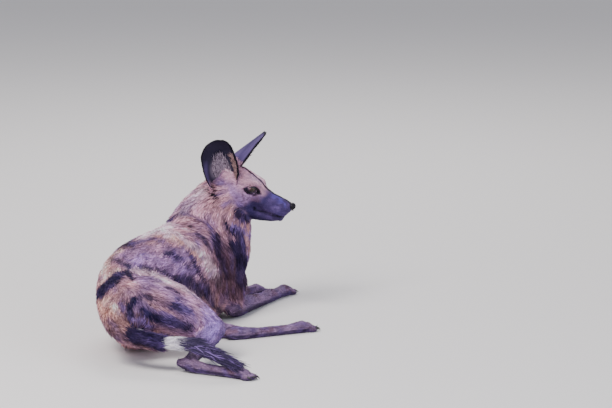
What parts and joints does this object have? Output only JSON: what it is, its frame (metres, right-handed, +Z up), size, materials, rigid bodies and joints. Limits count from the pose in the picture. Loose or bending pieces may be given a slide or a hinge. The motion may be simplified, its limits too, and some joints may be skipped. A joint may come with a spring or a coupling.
{
  "type": "african wild dog",
  "caption": "Life-size still model of an African wild dog lying on its chest and hip, head raised and turned, hind legs out to one side, bushy tail along the floor.",
  "frame": {"origin": "floor level, under the middle of the bounding box", "axes": "+X the side that the muzzle and the hind legs point to, +Y from rump to shoulders, +Z up"},
  "size_m": [0.6102, 1.1476, 0.5074],
  "materials": {
    "coat": "short hair lying flat, in tan and near-black blotches",
    "eye": "wet and clear over an amber-brown iris",
    "nose": "moist, finely pebbled"
  },
  "bodies": {
    "root": {"torso": "coat", "neck": "coat", "head": "coat", "tail": "coat", "tail_brush": "coat", "ear_right": "coat", "ear_left": "coat", "hind_thigh_right": "coat", "hind_shank_right": "coat", "hind_foot_right": "coat", "hind_thigh_left": "coat", "hind_shank_left": "coat", "hind_foot_left": "coat", "fore_shoulder_right": "coat", "fore_arm_right": "coat", "fore_paw_right": "coat", "fore_shoulder_left": "coat", "fore_arm_left": "coat", "fore_paw_left": "coat", "eye_right": "eye", "eye_left": "eye", "nose": "nose"}
  },
  "joints": []
}
